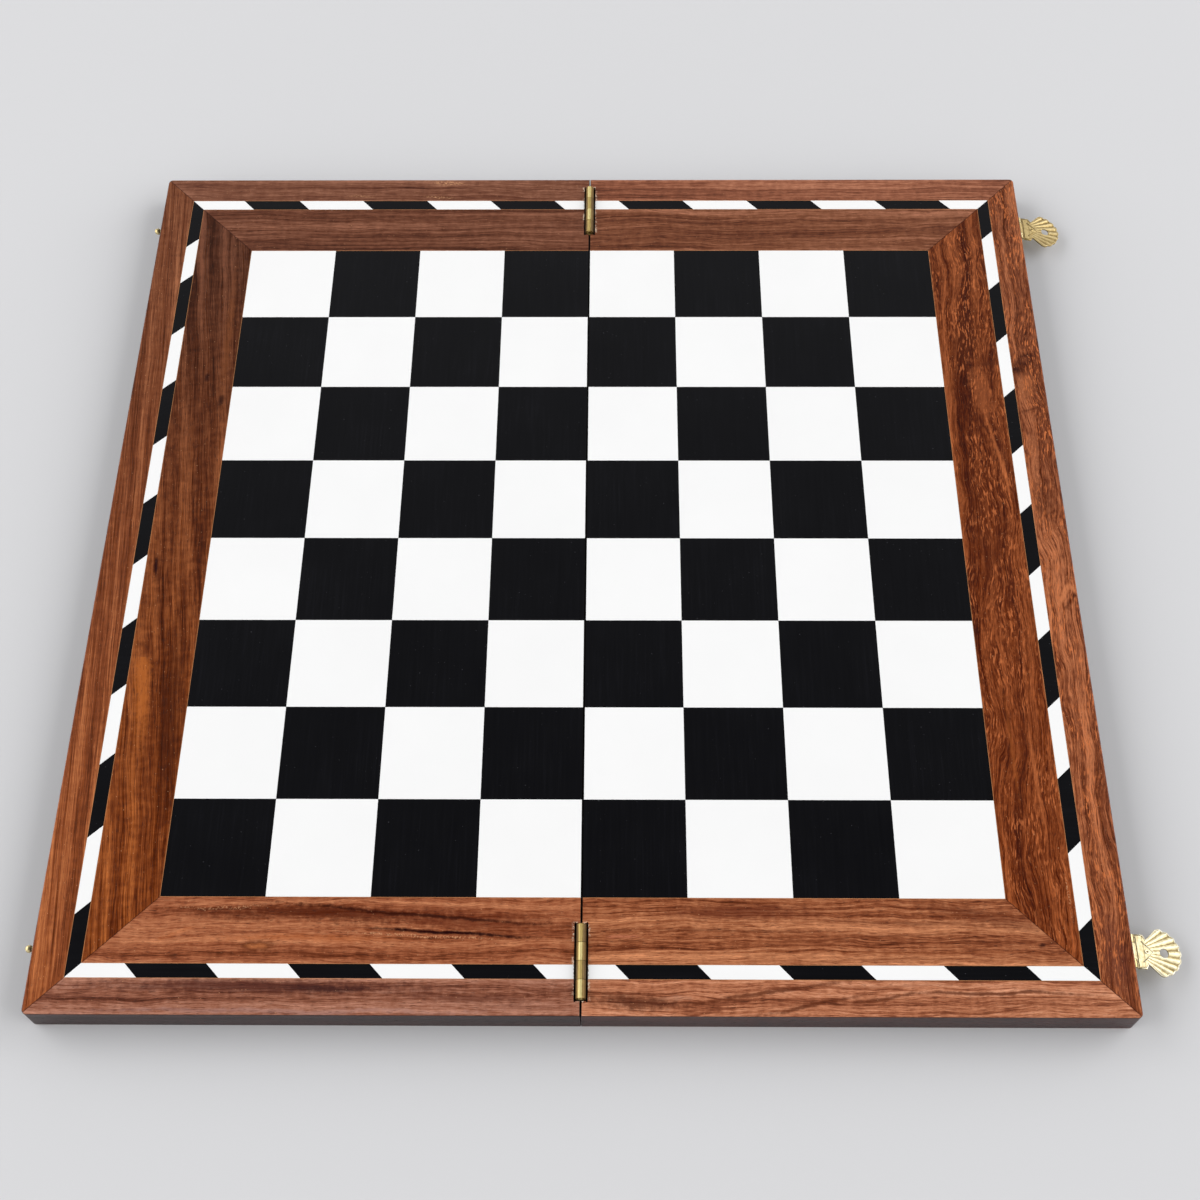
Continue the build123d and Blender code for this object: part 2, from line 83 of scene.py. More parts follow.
class Graph:
    """One material's node tree, with a short call for each kind of node that the finishes use."""

    def __init__(self, name):
        self.material = bpy.data.materials.new(name)
        self.material.use_nodes = True
        self.tree = self.material.node_tree
        self.shader = self.tree.nodes["Principled BSDF"]
        self.place = self.add("ShaderNodeTexCoord").outputs["Object"]

    def add(self, kind, **settings):
        node = self.tree.nodes.new(kind)
        for key, value in settings.items():
            setattr(node, key, value)
        return node

    def feed(self, socket, source):
        """Link a socket to another one, or set its value."""
        if isinstance(source, bpy.types.NodeSocket):
            self.tree.links.new(source, socket)
        else:
            socket.default_value = source

    def math(self, operation, *sources):
        node = self.add("ShaderNodeMath", operation=operation)
        for socket, source in zip(node.inputs, sources):
            self.feed(socket, source)
        return node.outputs[0]

    def total(self, *sources):
        out = sources[0]
        for source in sources[1:]:
            out = self.math("ADD", out, source)
        return out

    def product(self, *sources):
        out = sources[0]
        for source in sources[1:]:
            out = self.math("MULTIPLY", out, source)
        return out

    def minus(self, first, second):
        return self.math("SUBTRACT", first, second)

    def absolute(self, source):
        return self.math("ABSOLUTE", source)

    def apart(self, first, second):
        """How far two values lie from each other."""
        return self.absolute(self.minus(first, second))

    def step(self, source, low, high, start=0.0, stop=1.0):
        """Smooth step from start to stop, while the source goes from low to high."""
        node = self.add("ShaderNodeMapRange", interpolation_type="SMOOTHSTEP")
        for socket, value in zip(node.inputs, (source, low, high, start, stop)):
            self.feed(socket, value)
        return node.outputs[0]

    def fade(self, source, low, high, start=1.0):
        """Smooth step from start to nought."""
        return self.step(source, low, high, start, 0.0)

    def split(self, vector):
        node = self.add("ShaderNodeSeparateXYZ")
        self.feed(node.inputs[0], vector)
        return node.outputs

    def combine(self, *sources):
        node = self.add("ShaderNodeCombineXYZ")
        for socket, source in zip(node.inputs, sources):
            self.feed(socket, source)
        return node.outputs[0]

    def length(self, vector):
        node = self.add("ShaderNodeVectorMath", operation="LENGTH")
        self.feed(node.inputs[0], vector)
        return node.outputs["Value"]

    def mapped(self, scale, location=(0, 0, 0), turn=0.0):
        """The object's own space, scaled, turned round Z and moved."""
        node = self.add("ShaderNodeMapping")
        self.feed(node.inputs["Vector"], self.place)
        node.inputs["Location"].default_value = location
        node.inputs["Rotation"].default_value = (0, 0, turn)
        node.inputs["Scale"].default_value = scale
        return node.outputs[0]

    def framed(self, vector, location, rotation, scale=(1, 1, 1)):
        """A place as seen from a frame that is scaled, turned and moved."""
        node = self.add("ShaderNodeMapping", vector_type="TEXTURE")
        self.feed(node.inputs["Vector"], vector)
        node.inputs["Location"].default_value = location
        node.inputs["Rotation"].default_value = rotation
        node.inputs["Scale"].default_value = scale
        return node.outputs[0]

    def noise(self, vector, detail=2.0, roughness=0.5):
        node = self.add("ShaderNodeTexNoise")
        self.feed(node.inputs["Vector"], vector)
        node.inputs["Scale"].default_value = 1.0
        node.inputs["Detail"].default_value = detail
        node.inputs["Roughness"].default_value = roughness
        return node.outputs[0]

    def cloud(self, per_metre, detail=2.0, roughness=0.5):
        """Noise as fine in every direction, with so many waves to a metre."""
        return self.noise(self.mapped((per_metre, per_metre, per_metre)), detail, roughness)

    def mix(self, factor, first, second, blend="MIX"):
        node = self.add("ShaderNodeMix", data_type="RGBA", blend_type=blend)
        self.feed(node.inputs[0], factor)
        self.feed(node.inputs[6], first)
        self.feed(node.inputs[7], second)
        return node.outputs[2]

    def darkened(self, colour, filter_colour):
        return self.mix(1.0, colour, filter_colour, "MULTIPLY")

    def ramp(self, factor, stops):
        node = self.add("ShaderNodeValToRGB")
        self.feed(node.inputs[0], factor)
        set_stops(node, stops)
        return node.outputs[0]

    def bump(self, height, strength, distance):
        node = self.add("ShaderNodeBump")
        node.inputs["Strength"].default_value = strength
        node.inputs["Distance"].default_value = distance
        self.feed(node.inputs["Height"], height)
        self.feed(self.shader.inputs["Normal"], node.outputs[0])

    def finish(self, colour, roughness, **uniform):
        """Feed the shader, and hand back the material."""
        self.feed(self.shader.inputs["Base Color"], colour)
        self.feed(self.shader.inputs["Roughness"], roughness)
        for name, value in uniform.items():
            self.shader.inputs[name.replace("_", " ")].default_value = value
        return self.material


def along_hinge(g):
    """Distance from the middle of the nearest hinge, along the fold."""
    return g.apart(g.absolute(g.split(g.place)[1]), hinge_y)


def beside_fold(g):
    """Distance from the fold's middle plane."""
    return g.absolute(g.split(g.place)[0])


def beside_hinge(g):
    """How far a point lies outside the hinge pocket's outline, in plan."""
    past_side = g.math("MAXIMUM", g.minus(beside_fold(g), pocket_half_width), 0.0)
    past_end = g.math("MAXIMUM", g.minus(along_hinge(g), pocket_half_length), 0.0)
    return g.math("SQRT", g.total(g.product(past_side, past_side), g.product(past_end, past_end)))


def below_top(g, depth):
    """One below a depth under the playing surface, nought above it."""
    height = g.split(g.place)[2]
    return g.fade(height, board_top - depth - 0.2 * MM, board_top - depth)


def shade_pockets_and_draw_fold(g, colour, pocket_shade_and_line):
    """Painted shade on the walls and floors of the hinge pockets, and the dark line of the fold."""
    across = g.fade(beside_fold(g), pocket_half_width + 0.1 * MM, pocket_half_width + 0.3 * MM)
    close = g.fade(along_hinge(g), pocket_half_length + 0.1 * MM, pocket_half_length + 0.3 * MM)
    colour = g.mix(g.product(across, close, below_top(g, 0.5 * MM)), colour, pocket_shade_and_line)
    line = g.fade(beside_fold(g), seam_half_width, seam_half_width + 0.15 * MM)
    return g.mix(g.product(line, g.minus(1.0, below_top(g, 1.5 * MM))), colour, pocket_shade_and_line)


# Rosewood

# Light veil that the polish adds to the wood's own colour, what the lamps add to it, and its
# lowest level
GLOSS_VEIL = 0.006
LAMP_GAIN = 1.05
DARKEST = 0.0015

WHITE = (1, 1, 1, 1)
EDGE_SHADE = (0.08, 0.04, 0.05, 1)
PORE_SHADE = (0.34, 0.28, 0.26, 1)
TORN_FIBRE = srgb(232, 204, 178)
# Painted shade in the hinge pockets, also the dark line of the fold
POCKET_SHADE_AND_FOLD_LINE = srgb(12, 8, 6)
GLUE_TAN = srgb(206, 146, 96)
INK = (46, 20, 12)
UMBER = (92, 42, 26)
CHESTNUT = (112, 56, 34)
GOLD = (178, 99, 46)
AMBER = (196, 112, 66)
PALE = (216, 160, 118)

# Where the golden band of the left side rail starts, along the rail
gold_start = -78.0 * MM


def wood_tone(tone, share=1.0):
    """Colour of the wood itself, under its polish."""
    bare = [max(level - GLOSS_VEIL, DARKEST) / LAMP_GAIN * share for level in srgb(*tone)[:3]]
    return (*[min(level, 1.0) for level in bare], 1.0)


class Rail:
    """How one rail's wood looks.

    dark, middle, light: colours of the grain
    band, line, fibre: strength of the wide, the narrow and the fine streaks
    fibre_length: length of the fine streaks in mm
    wave: how far the grain wanders
    mottle: strength of the ripple across the grain
    far: what the colour is multiplied by at the back end of a side rail
    draw: how far the wide and the narrow streaks are drawn out
    figure: darkness of the contour lines
    fleck: strength of the light flecks
    pore: darkness of the pores
    lean: turn of the grain against the rail, in degrees
    marks: knots, streaks and smoky zones drawn over the grain
    """

    def __init__(
        self, dark, middle, light, band, line, fibre, fibre_length, wave, mottle,
        far=(1, 1, 1), draw=1.0, figure=0.15, fleck=0.0, pore=0.5, lean=0.0, marks=(),
    ):
        self.dark = dark
        self.middle = middle
        self.light = light
        self.band = band
        self.line = line
        self.fibre = fibre
        self.fibre_length = fibre_length
        self.wave = wave
        self.mottle = mottle
        self.far = (*far, 1)
        self.draw = draw
        self.figure = figure
        self.fleck = fleck
        self.pore = pore
        self.lean = math.radians(lean)
        self.marks = marks


def centred(g, source, amount):
    """A noise value moved to either side of nought."""
    return g.product(g.minus(source, 0.5), amount)


def grain_space(g, along_y, seed, wave, lean=0.0):
    """Millimetres along the grain, across it and up, bent by the wood's own waviness."""
    turn = (-math.pi / 2 if along_y else 0.0) + lean
    u, v, w = g.split(g.mapped((1000, 1000, 1000), (seed * 310.0, seed * 170.0, seed * 70.0), turn))
    slow = g.noise(g.combine(g.product(u, 1 / 55), g.product(v, 1 / 24), g.product(w, 1 / 24)))
    return u, g.total(v, centred(g, slow, wave * 4)), w


def stretched(g, grain, length, width, seed, detail=2.0, roughness=0.5):
    """Noise drawn out along the grain, with streaks of about this length and width in mm."""
    u, v, w = grain
    along = g.total(g.product(u, 1 / length), seed * 7.3)
    vector = g.combine(along, g.product(v, 1 / width), g.product(w, 1 / width))
    return g.noise(vector, detail, roughness)


def draw_marks(g, colour, marks):
    """Knots, streaks and smoky zones: long soft ovals in millimetres, ragged along their edges.

    Each mark has its middle (x, y), half length, half width, turn in degrees, strength and colour.
    """
    ragged = g.cloud(260, 4, 0.65)
    drift = g.cloud(38)
    loose = g.add("ShaderNodeVectorMath", operation="ADD")
    g.feed(loose.inputs[0], g.place)
    g.feed(loose.inputs[1], g.combine(0.0, centred(g, drift, 5 * MM), 0.0))
    dots = g.step(g.noise(g.mapped((1300, 900, 900)), 2, 0.6), 0.48, 0.6)
    place_along = g.split(g.place)[1]
    for x, y, half_length, half_width, turn, strength, tone in marks:
        oval = g.framed(
            loose.outputs[0],
            (x * MM, y * MM, board_top),
            (0, 0, math.radians(turn)),
            (half_length * MM, half_width * MM, 0.05),
        )
        edge = g.total(g.length(oval), centred(g, ragged, 1.5))
        factor = g.fade(edge, 0.2, 1.15, strength)
        if tone == PALE:
            factor = g.product(factor, dots)
        if tone == GOLD:
            started = g.fade(place_along, gold_start, gold_start + 0.8 * MM)
            factor = g.product(factor, started)
        colour = g.mix(factor, colour, wood_tone(tone))
    return colour


def rosewood(name, rail, along_y, seed, bright_borders):
    """Polished rosewood for one rail."""
    g = Graph(name)
    grain = grain_space(g, along_y, seed, rail.wave, rail.lean)
    x, y, height = g.split(g.place)

    bands = stretched(g, grain, 220 * rail.draw, 8.0, seed)
    lines = stretched(g, grain, 150 * rail.draw, 1.6, seed + 3, roughness=0.6)
    fibres = stretched(g, grain, rail.fibre_length, 0.4, seed + 5, detail=3, roughness=0.75)
    ripple = stretched(g, grain, 3.5, 7.0, seed + 7)
    contour = g.apart(stretched(g, grain, 140, 5.0, seed + 9, detail=1), 0.5)
    shade = g.total(
        0.52,
        centred(g, bands, rail.band),
        centred(g, lines, rail.line),
        centred(g, fibres, rail.fibre),
        centred(g, ripple, rail.mottle),
        g.fade(contour, 0.0, 0.035, -rail.figure),
    )
    stops = (
        (0.0, wood_tone(rail.dark, 0.45)),
        (0.25, wood_tone(rail.dark)),
        (0.5, wood_tone(rail.middle)),
        (0.75, wood_tone(rail.light)),
        (1.0, wood_tone(rail.light, 1.5)),
    )
    colour = g.ramp(shade, stops)
    if along_y:
        far_end = g.step(y, -half_board, half_board)
        colour = g.darkened(colour, g.mix(far_end, WHITE, rail.far))
    colour = draw_marks(g, colour, rail.marks)

    pores = g.step(stretched(g, grain, 3.4, 0.45, seed + 11, detail=1), 0.6, 0.7, 0.0, rail.pore)
    colour = g.mix(pores, colour, g.darkened(colour, PORE_SHADE))
    if rail.fleck:
        knit = stretched(g, grain, 5.0, 0.8, seed + 17, roughness=0.6)
        where = g.step(stretched(g, grain, 30, 9.0, seed + 19, detail=1), 0.36, 0.6)
        flecks = g.product(g.step(knit, 0.52, 0.66, 0.0, rail.fleck), where)
        colour = g.mix(flecks, colour, wood_tone(AMBER, 1.25))
    specks = g.step(stretched(g, grain, 1.0, 0.7, seed + 23, detail=0), 0.79, 0.86, 0.0, 0.55)
    colour = g.mix(specks, colour, wood_tone(PALE))

    # A mitre shows as a fine dark line
    off_mitre = g.apart(g.absolute(x), g.absolute(y))
    colour = g.mix(g.fade(off_mitre, 0.15 * MM, 0.5 * MM, 0.6), colour, wood_tone(INK))

    # Beside white pieces the cut edge of the wood is pale
    out = g.math("MAXIMUM", g.absolute(x), g.absolute(y))
    for border in bright_borders:
        near_border = g.fade(g.apart(out, border), 0.12 * MM, 0.45 * MM, 0.5)
        colour = g.mix(near_border, colour, GLUE_TAN)

    # The outer faces are painted darker than the top and the underside: painted shade
    shaded_faces = g.product(below_top(g, 0.25 * MM), g.step(height, 0.1 * MM, 0.5 * MM))
    colour = g.mix(shaded_faces, colour, g.darkened(colour, EDGE_SHADE))

    # Rails that the fold cuts have torn fibres round the hinge pockets
    if not along_y:
        torn = g.step(g.noise(g.mapped((900, 700, 700)), 4, 0.75), 0.49, 0.56)
        patchy = g.step(g.cloud(190, 1), 0.44, 0.54)
        reach = g.fade(beside_hinge(g), 0.2 * MM, 1.6 * MM)
        colour = g.mix(g.product(torn, patchy, reach), colour, TORN_FIBRE)
        # Painted shade in the hinge pockets, and the dark line of the fold
        colour = shade_pockets_and_draw_fold(g, colour, POCKET_SHADE_AND_FOLD_LINE)

    g.bump(g.minus(g.product(fibres, 0.5), pores), 0.15, 0.12 * MM)
    polish = g.total(0.3, centred(g, lines, 0.25), g.product(pores, 0.25))
    return g.finish(colour, polish, Specular_IOR_Level=0.17)


# Marks of the rails: middle (x, y), half length, half width, turn, strength and colour

# The left side rail darkens beside the squares, and a golden band starts abruptly beside a split
LEFT_SIDE_MARKS = (
    (-224, -112, 78, 7.5, 94, 0.6, (72, 34, 17)),
    (-246, -70, 7, 3.0, 0, 0.55, (98, 48, 24)),
    (-242.6, -92, 46, 5.2, 96.5, 0.85, GOLD),
    (-244.5, -20, 15, 3.0, 97, 0.6, (80, 38, 20)),
    (-245.2, -19, 8, 1.6, 97, 1.0, INK),
    (-229, 70, 60, 3.0, 93, 0.35, (70, 34, 22)),
    (-232.5, 115.5, 4.0, 2.0, 97, 0.85, (44, 22, 14)),
    (-221.8, 97.4, 6.0, 2.4, 84, 0.85, (48, 25, 15)),
    (-223, 150, 55, 3.0, 92, 0.5, (128, 74, 44)),
)
# Dark figure and amber streaks on the right inner rail
RIGHT_SIDE_MARKS = (
    (232, 146, 26, 9, 80, 0.7, (84, 40, 24)),
    (238, 105, 26, 7, 96, 0.65, (152, 84, 50)),
    (246, 126, 7, 3.4, 20, 0.75, (86, 42, 26)),
    (237, 80, 24, 1.8, 118, 0.7, (74, 32, 18)),
    (247, 50, 40, 2.4, 97, 0.5, (74, 32, 18)),
    (229, 0, 60, 4.5, 91, 0.5, (78, 34, 19)),
    (243, 60, 34, 1.3, 99, 0.55, AMBER),
    (246, 42, 20, 1.0, 92, 0.5, AMBER),
    (232, 10, 40, 8, 90, 0.3, (90, 40, 22)),
    (240, -150, 40, 1.6, 92, 0.5, AMBER),
    (229, -130, 45, 1.3, 91, 0.4, (170, 92, 46)),
    (248.5, -215, 14, 0.8, 92, 0.6, PALE),
)
# Two knots and a smoky length on the right outer rail, and a V of light grain
RIGHT_OUTER_MARKS = (
    (265.0, 124.0, 12.5, 8.5, 60, 0.9, (88, 44, 28)),
    (267.2, 128.5, 6.5, 4.6, 40, 1.0, (48, 22, 14)),
    (267.2, 128.3, 4.2, 2.6, 40, 0.85, (124, 68, 44)),
    (261.0, 120.5, 4.4, 3.0, 0, 0.95, (56, 26, 17)),
    (266.0, 108.0, 12.0, 6.0, 80, 0.6, (168, 100, 64)),
    (268.0, 92.0, 10.0, 1.0, 20, 0.6, (84, 42, 26)),
    (268.0, 66.0, 18.0, 6.0, 96, 0.5, (92, 44, 28)),
    (266, 26, 24, 7.5, 90, 0.65, (80, 36, 22)),
    (269.5, -36, 10.5, 2.0, 58, 0.85, (206, 126, 82)),
    (272.8, -40, 10.0, 2.0, 55, 0.9, (80, 36, 22)),
    (275, -33, 5.5, 1.6, 120, 0.8, (206, 126, 82)),
    (268, -245, 26, 7.0, 92, 0.5, (96, 52, 44)),
)
# Pale scuffs on the left outer rail at the back
LEFT_BACK_OUTER_MARKS = (
    (-94, 274.2, 15, 3.0, -3, 0.9, PALE),
    (-98, 261.5, 12, 1.2, -2, 0.8, PALE),
    (-150, 262.5, 10, 1.0, 0, 0.6, PALE),
)
# Dark lengths, a split and an eye on the left front inner rail
LEFT_FRONT_MARKS = (
    (-135, -224.8, 84, 5.4, -1, 0.85, (86, 38, 24)),
    (-60, -228, 60, 7.0, -4, 0.75, (104, 48, 31)),
    (-80, -225.4, 84, 1.3, -4.6, 0.9, (58, 27, 17)),
    (-185, -221.0, 26, 1.3, 1, 0.5, PALE),
    (-68, -234.6, 56, 1.35, -3.6, 1.0, (44, 20, 13)),
    (-80, -236.4, 50, 1.0, -3.0, 0.8, PALE),
    (-140, -238.0, 60, 2.5, 0, 0.35, AMBER),
    (-164, -242.3, 11, 3.6, -2, 0.9, (88, 42, 24)),
    (-164, -242.5, 6.5, 1.9, -2, 0.9, (186, 112, 70)),
    (-130, -246.5, 36, 1.5, -3, 0.5, UMBER),
    (-206, -236, 12, 1.6, 20, 0.35, AMBER),
)
# Dark lines and a small hole on the right front inner rail
RIGHT_FRONT_MARKS = (
    (80, -223.5, 46, 5.2, 0, 0.75, (108, 54, 37)),
    (20, -233.0, 14, 0.8, 2, 0.6, UMBER),
    (21, -236.5, 11, 1.0, 0, 0.6, (196, 120, 90)),
    (23, -238.8, 10, 0.7, 0, 0.6, UMBER),
    (75, -233.5, 70, 1.0, 0.4, 0.6, UMBER),
    (150, -236.5, 60, 0.8, 2.5, 0.5, UMBER),
    (165, -229, 60, 1.2, -1.5, 0.5, UMBER),
    (190, -222.5, 40, 1.0, -3, 0.45, UMBER),
    (150, -248.5, 70, 1.0, 1, 0.4, CHESTNUT),
    (205, -226, 44, 5.0, -12, 0.55, (100, 48, 31)),
    (232, -240.2, 2.2, 1.4, 0, 0.85, INK),
)
# Smoky lengths on the left front outer rail, and its pale edge
LEFT_FRONT_OUTER_MARKS = (
    (-160, -262.8, 108, 4.6, -0.5, 0.8, (86, 48, 41)),
    (-128, -263.6, 26, 2.0, -2, 0.7, (58, 34, 34)),
    (-55, -268.5, 45, 3.0, -3, 0.5, (92, 50, 40)),
    (-30, -273, 26, 1.6, 0, 0.4, (100, 54, 42)),
    (-150, -275.2, 125, 1.6, 0, 0.5, (176, 134, 124)),
)
# Slanting dark lines on the right front outer rail
RIGHT_FRONT_OUTER_MARKS = (
    (28, -269.5, 28, 5.0, -3, 0.8, (84, 44, 32)),
    (48, -268, 10, 1.4, 0, 0.5, (196, 140, 112)),
    (94, -265.3, 60, 1.5, 8.3, 0.8, (96, 48, 31)),
    (115, -271.3, 38, 1.3, 12.7, 0.8, (96, 48, 31)),
    (148, -267.8, 24, 1.3, 7.5, 0.8, (96, 48, 31)),
    (206, -265.3, 60, 1.3, 0.8, 0.85, (96, 48, 31)),
    (225, -271, 34, 0.8, 1, 0.4, CHESTNUT),
    (150, -262, 60, 1.0, 1, 0.35, CHESTNUT),
)

# In this order, because a rail's number seeds its grain
RAILS = {
    "left_outer_rail_side": Rail(
        (114, 57, 31), (147, 78, 44), (182, 108, 64), band=1.0, line=0.8, fibre=1.7,
        fibre_length=26, wave=0.7, mottle=0.3, far=(0.6, 0.7, 0.98), lean=-4,
    ),
    "left_inner_rail_side": Rail(
        (94, 42, 18), (132, 66, 31), (172, 96, 48), band=1.4, line=0.6, fibre=1.5,
        fibre_length=18, wave=1.3, mottle=0.45, far=(0.32, 0.41, 1.0), pore=0.6, lean=-6.5,
        marks=LEFT_SIDE_MARKS,
    ),
    "right_inner_rail_side": Rail(
        (74, 31, 15), (106, 48, 24), (150, 79, 43), band=1.2, line=0.8, fibre=1.6,
        fibre_length=7, wave=3.8, mottle=0.2, far=(0.92, 1.02, 1.24), fleck=0.6, lean=3,
        marks=RIGHT_SIDE_MARKS,
    ),
    "right_outer_rail_side": Rail(
        (92, 45, 28), (130, 69, 43), (178, 107, 70), band=1.2, line=1.1, fibre=1.8,
        fibre_length=7, wave=4.0, mottle=0.2, far=(0.84, 0.86, 0.9), fleck=0.85, lean=1,
        marks=RIGHT_OUTER_MARKS,
    ),
    "left_inner_rail_back": Rail(
        (86, 49, 36), (113, 69, 51), (140, 92, 71), band=1.3, line=0.8, fibre=1.4,
        fibre_length=8, wave=2.0, mottle=0.35, draw=1.5, pore=0.45,
    ),
    "right_inner_rail_back": Rail(
        (101, 57, 41), (131, 81, 57), (160, 105, 80), band=1.2, line=0.9, fibre=1.4,
        fibre_length=8, wave=2.6, mottle=0.35, draw=1.5, pore=0.45,
    ),
    "left_outer_rail_back": Rail(
        (97, 56, 43), (121, 76, 57), (147, 99, 78), band=1.2, line=0.9, fibre=1.4,
        fibre_length=8, wave=1.8, mottle=0.35, draw=1.5, pore=0.45, marks=LEFT_BACK_OUTER_MARKS,
    ),
    "right_outer_rail_back": Rail(
        (118, 69, 51), (151, 93, 69), (181, 121, 93), band=1.2, line=0.9, fibre=1.4,
        fibre_length=8, wave=1.8, mottle=0.35, draw=1.5, pore=0.45,
    ),
    "left_inner_rail_front": Rail(
        (120, 62, 39), (163, 95, 64), (190, 123, 86), band=1.3, line=0.6, fibre=1.5,
        fibre_length=7, wave=2.2, mottle=0.4, draw=2.2, pore=0.65, marks=LEFT_FRONT_MARKS,
    ),
    "right_inner_rail_front": Rail(
        (112, 57, 36), (160, 94, 62), (192, 126, 88), band=1.4, line=0.8, fibre=1.5,
        fibre_length=7, wave=2.4, mottle=0.35, draw=2.6, figure=0.2, pore=0.65,
        marks=RIGHT_FRONT_MARKS,
    ),
    "left_outer_rail_front": Rail(
        (102, 57, 43), (149, 93, 71), (178, 124, 102), band=1.3, line=0.6, fibre=1.4,
        fibre_length=7, wave=1.6, mottle=0.35, draw=2.0, pore=0.6, marks=LEFT_FRONT_OUTER_MARKS,
    ),
    "right_outer_rail_front": Rail(
        (138, 78, 54), (191, 123, 89), (218, 153, 119), band=1.2, line=0.7, fibre=1.4,
        fibre_length=7, wave=2.2, mottle=0.35, draw=2.2, figure=0.25, pore=0.6,
        marks=RIGHT_FRONT_OUTER_MARKS,
    ),
}


def plain_wood(name, tone, seed, polish=0.45):
    """Straight-grained wood of the pieces that the border hides or that lie underneath."""
    g = Graph(name)
    grain = grain_space(g, True, seed, wave=3)
    bands = stretched(g, grain, 160, 11.0, seed, detail=4, roughness=0.6)
    fibres = stretched(g, grain, 12, 0.5, seed + 5)
    shade = g.total(0.5, centred(g, bands, 0.9), centred(g, fibres, 0.8))
    stops = ((0.2, wood_tone(tone, 0.55)), (0.5, wood_tone(tone)), (0.8, wood_tone(tone, 1.5)))
    colour = shade_pockets_and_draw_fold(g, g.ramp(shade, stops), POCKET_SHADE_AND_FOLD_LINE)
    g.bump(fibres, 0.1, 0.15 * MM)
    return g.finish(colour, g.total(polish, g.product(fibres, 0.1)), Specular_IOR_Level=0.35)


# Lacquered pieces

LACQUER_SPECULAR = 0.3
# Painted shade in the hinge pockets of the black pieces, also the dark line of the fold
BLACK_POCKET_SHADE_AND_FOLD_LINE = srgb(8, 6, 5)


def black_lacquer(name, brush_scale):
    """Black gloss with the faint lines of a brushed coat."""
    g = Graph(name)
    brushed = g.noise(g.mapped(brush_scale), 3)
    cloudy = g.cloud(30)
    level = g.total(g.product(brushed, 0.7), g.product(cloudy, 0.3))
    stops = ((0.3, srgb(10, 10, 13)), (0.55, srgb(13, 13, 16)), (0.75, srgb(19, 19, 23)))
    colour = g.ramp(level, stops)
    dust = g.step(g.cloud(900, 0), 0.83, 0.88, 0.0, 0.5)
    colour = g.mix(dust, colour, srgb(70, 70, 74))
    colour = shade_pockets_and_draw_fold(g, colour, BLACK_POCKET_SHADE_AND_FOLD_LINE)
    g.bump(brushed, 0.04, 0.04 * MM)
    gloss = g.total(0.12, g.product(cloudy, 0.1))
    return g.finish(colour, gloss, Specular_IOR_Level=LACQUER_SPECULAR)


def white_lacquer(name):
    """White gloss, very slightly uneven, with a torn edge round the hinge pockets."""
    g = Graph(name)
    cloudy = g.cloud(25)
    brushed = g.noise(g.mapped((700, 30, 30)))
    colour = g.ramp(cloudy, ((0.3, srgb(247, 247, 247)), (0.7, srgb(249, 249, 249))))
    torn = g.step(g.noise(g.mapped((1500, 900, 900))), 0.45, 0.6)
    reach = g.fade(beside_hinge(g), 0.05 * MM, 0.5 * MM, 0.8)
    colour = g.mix(g.product(torn, reach), colour, srgb(120, 92, 70))
    colour = shade_pockets_and_draw_fold(g, colour, POCKET_SHADE_AND_FOLD_LINE)
    g.bump(brushed, 0.03, 0.03 * MM)
    gloss = g.total(0.14, g.product(cloudy, 0.1))
    return g.finish(colour, gloss, Specular_IOR_Level=LACQUER_SPECULAR)


# Brass

# How far left of a hinge barrel's middle its painted highlight along the crown lies
highlight_off = 0.3 * MM


def brass(name, tone, dull, rough):
    """Brass with a thin uneven tarnish and fine rubbed lines."""
    g = Graph(name)
    patches = g.cloud(420, 4, 0.6)
    rubbed = g.cloud(2600)
    colour = g.mix(g.step(patches, 0.38, 0.66, 0.0, 0.9), srgb(*tone), srgb(*dull))
    roughness = g.total(rough, g.product(patches, 0.16), g.product(rubbed, 0.08))
    g.bump(g.total(rubbed, g.product(patches, 0.6)), 0.12, 0.04 * MM)
    return g.finish(colour, roughness, Metallic=1.0)


def barrel_brass(name, body, crown_highlight, flank_shade_and_streaks):
    """Old drawn brass of a hinge leaf, with a painted highlight along the knuckles' crown and painted
    shade, brown, on their flanks.
    """
    g = Graph(name)
    patches = g.cloud(420, 4, 0.6)
    drawn = g.noise(g.mapped((3400, 40, 3400)), 3, 0.7)
    aside = g.absolute(g.total(g.split(g.place)[0], highlight_off, centred(g, patches, 0.5 * MM)))
    colour = g.mix(g.step(drawn, 0.3, 0.7), srgb(*flank_shade_and_streaks), srgb(*body))
    # Painted highlight along the crown, painted shade on the flanks, and a thin line of body colour
    # down the highlight's middle
    colour = g.mix(g.fade(aside, 0.4 * MM, 1.2 * MM, 0.95), colour, srgb(*crown_highlight))
    colour = g.mix(g.step(aside, 1.1 * MM, 1.9 * MM, 0.0, 0.95), colour, srgb(*flank_shade_and_streaks))
    hairline = g.fade(aside, 0.05 * MM, 0.25 * MM, 0.6)
    colour = g.mix(hairline, colour, srgb(*body))
    g.bump(g.total(drawn, g.product(patches, 0.6)), 0.15, 0.05 * MM)
    return g.finish(colour, g.total(0.42, g.product(patches, 0.2)), Metallic=0.55)


# Shell hasps, in a hasp's own plane: reach out from its pin, span along the pin

rest_droop = math.radians(12)
web_half = 0.3 * MM
panel_face = 0.6 * MM

# The fan, whose flutes spread from its root and end in a scalloped rim
shell_root = 1.2 * MM
flute_angle = math.radians(9.71)
fan_start = 7.6 * MM
rim_centre = 13.9 * MM
rim_radius = 12.1 * MM
scallop_bulge = 0.5 * MM
crest_rise = 0.34 * MM
flutes = 9

